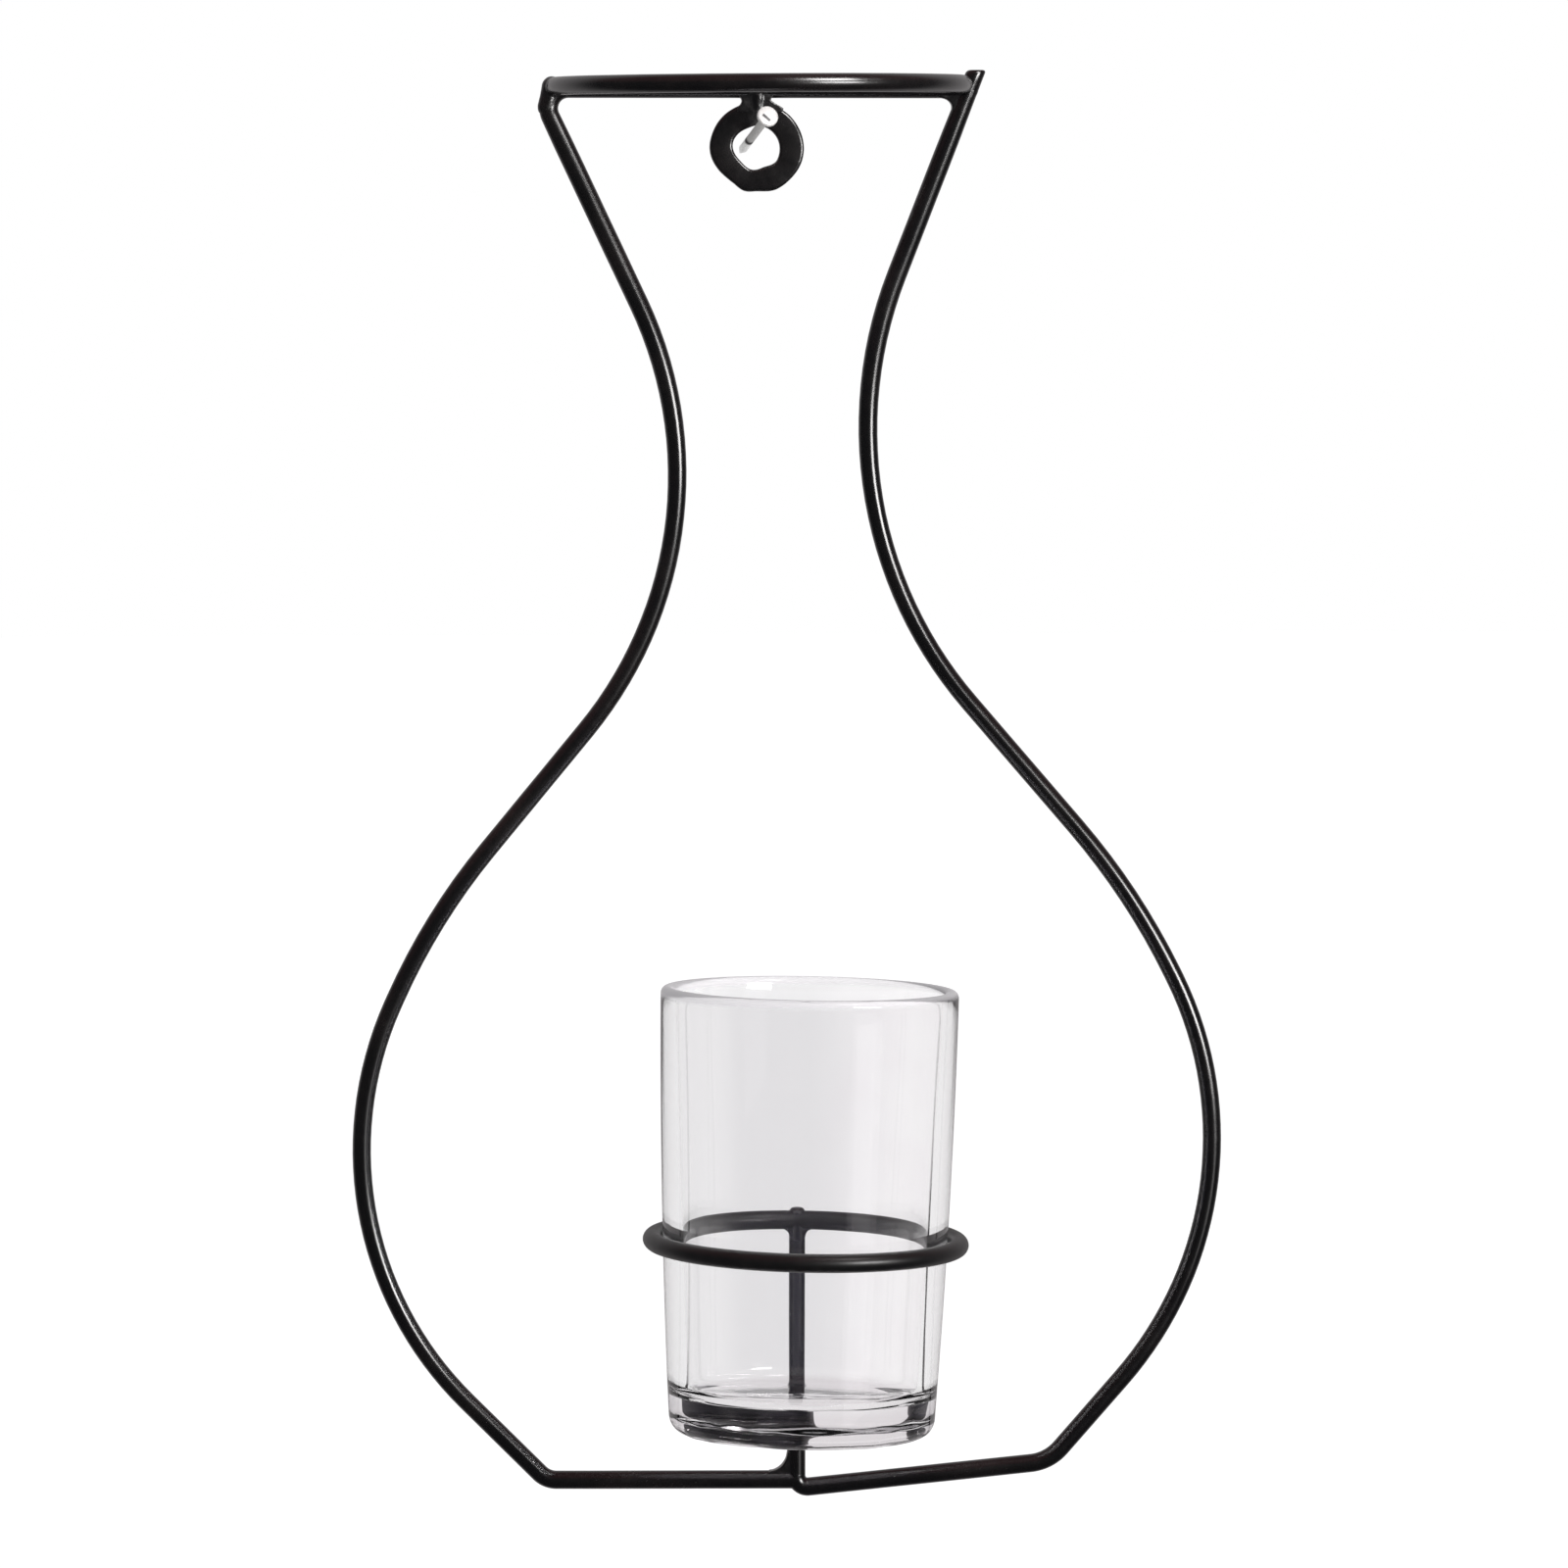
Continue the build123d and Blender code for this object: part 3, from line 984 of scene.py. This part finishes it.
# each "From" is where a change starts and ends, by how far a direction points back or up
studio = {
    "white": (1.0, 1.0, 1.0, 1),
    "plainLevel": (0.85, 0.85, 0.85, 1),
    "roomDark": (0.04, 0.039, 0.044, 1),
    "roomWarm": (0.15, 0.078, 0.084, 1),
    "warmFrom": (0.15, 0.75),
    "backdropInGloss": (0.37, 0.355, 0.36, 1),
    "glossFrom": (0.18, 0.7),
    "roomInGlass": (0.14, 0.135, 0.19, 1),
    "ceilingInGlass": (0.7, 0.68, 0.7, 1),
    "ceilingFrom": (0.0, 0.35),
    "backdropInGlass": (0.95, 0.95, 0.95, 1),
    "glassFrom": (-0.65, 0.05),
    "floorZ": -0.42,
    "floorSize": 14.0,
    "floorGrey": ((0.80, 0.80, 0.80, 1), (0.84, 0.84, 0.84, 1)),
    "floorGrain": (14.0, 4.0, 0.5),
    "floorGlow": 0.35,
    "lampColour": (1.0, 0.985, 0.98),
}


def lightPath(tree, name):
    return addNode(tree, "ShaderNodeLightPath", out=name)


# white behind, a dim room in front for what shines
def makeRoom():
    world = bpy.data.worlds.new("studioRoom")
    bpy.context.scene.world = world
    world.use_nodes = True
    tree = world.node_tree
    tree.nodes.clear()
    way = addNode(tree, "ShaderNodeTexCoord", out="Generated")
    backwards, upwards = axisOf(tree, way, 1), axisOf(tree, way, 2)
    warm = between(tree, upwards, 0.0, 1.0, *studio["warmFrom"])
    room = mixColours(tree, warm, studio["roomDark"], studio["roomWarm"])
    behind = between(tree, backwards, 0.0, 1.0, *studio["glossFrom"])
    shine = mixColours(tree, behind, room, studio["backdropInGloss"])
    ceiling = between(tree, upwards, 0.0, 1.0, *studio["ceilingFrom"])
    ahead = mixColours(tree, ceiling, studio["roomInGlass"], studio["ceilingInGlass"])
    behindGlass = between(tree, backwards, 0.0, 1.0, *studio["glassFrom"])
    inGlass = mixColours(tree, behindGlass, ahead, studio["backdropInGlass"])
    seen = lightPath(tree, "Is Camera Ray")
    through = lightPath(tree, "Is Transmission Ray")
    bounced = lightPath(tree, "Glossy Depth")
    # what is mirrored behind or inside the glass shows the room too
    straight = through * (1.0 - bounced.maths("MINIMUM", bounced, 1.0))
    backdrop = seen.maths("MAXIMUM", seen, straight)
    colour = mixColours(tree, lightPath(tree, "Is Glossy Ray"), studio["plainLevel"], shine)
    colour = mixColours(tree, through, colour, inGlass)
    colour = mixColours(tree, backdrop, colour, studio["white"])
    light = addNode(tree, "ShaderNodeBackground", {}, {"Color": colour, "Strength": 1.0})
    addNode(tree, "ShaderNodeOutputWorld", {}, {"Surface": light})


# pale floor, lifted to white for the camera, with the shadow left in it
def makeFloor():
    material, tree = startMaterial("paleFloor")
    grain = noise(tree, objectCoords(tree), *studio["floorGrain"])
    colour = mixColours(tree, grain, *studio["floorGrey"])
    matt = addNode(tree, "ShaderNodeBsdfDiffuse", {}, {"Color": colour})
    glow = addNode(tree, "ShaderNodeEmission", {}, {
        "Color": studio["white"], "Strength": lightPath(tree, "Is Camera Ray") * studio["floorGlow"]})
    both = addNode(tree, "ShaderNodeAddShader", {}, {0: matt, 1: glow})
    addNode(tree, "ShaderNodeOutputMaterial", {}, {"Surface": both})
    deselectAll()
    bpy.ops.mesh.primitive_plane_add(size=studio["floorSize"], location=(0, 0, studio["floorZ"]))
    floor = bpy.context.object
    floor.name = "paleFloor"
    applyPlace()
    floor.data.materials.append(material)
    floor.visible_glossy = False
    floor.visible_transmission = False


# soft boxes: aimed at a point in mm, so many degrees right of straight ahead and up, and metres away
lamps = {
    "windowSoftbox": {
        "aim": (0, 0, -60), "right": 40, "up": 3.4, "away": 1.4,
        "size": (0.55, 0.31), "bright": 15.0, "spread": 180,
    },
    "lowSoftbox": {
        "aim": (0, 0, -60), "right": 42, "up": -16, "away": 1.4,
        "size": (0.5, 0.26), "bright": 0.7, "spread": 180,
    },
    "mouthSoftbox": {
        "aim": (0, -30, 9), "right": 41, "up": 33, "away": 0.3,
        "size": (0.13, 0.12), "bright": 1.8, "spread": 60,
    },
}


def addLamp(name, box):
    lamp = bpy.data.lights.new(name, "AREA")
    lamp.shape = "RECTANGLE"
    lamp.size, lamp.size_y = box["size"]
    lamp.energy = box["bright"] * math.pi * lamp.size * lamp.size_y
    lamp.color = studio["lampColour"]
    lamp.spread = math.radians(box["spread"])
    right, up = math.radians(box["right"]), math.radians(box["up"])
    way = Vector((math.sin(right) * math.cos(up), -math.cos(right) * math.cos(up), math.sin(up)))
    holder = bpy.data.objects.new(name, lamp)
    bpy.context.scene.collection.objects.link(holder)
    holder.location = Vector(box["aim"]) * mm + way * box["away"]
    holder.rotation_euler = (-way).to_track_quat("-Z", "Y").to_euler()
    holder.visible_camera = False


makeRoom()
makeFloor()
for lampName, softbox in lamps.items():
    addLamp(lampName, softbox)

view = {
    "from": Vector((-115.83, -1546.9, -11.8)),
    "at": Vector((5.77, -1.6, -111.5)),
    "lens": 205.6,
    "sensor": 36.0,
    "farthest": 50.0,
}
camera = bpy.data.objects.new("photoCamera", bpy.data.cameras.new("photoCamera"))
bpy.context.scene.collection.objects.link(camera)
camera.location = view["from"] * mm
camera.rotation_euler = (view["at"] - view["from"]).to_track_quat("-Z", "Y").to_euler()
camera.data.lens = view["lens"]
camera.data.sensor_width = view["sensor"]
camera.data.clip_end = view["farthest"]
bpy.context.scene.camera = camera
bpy.context.scene.view_settings.view_transform = "Standard"
print("room, lamps and camera set")

deselectAll()
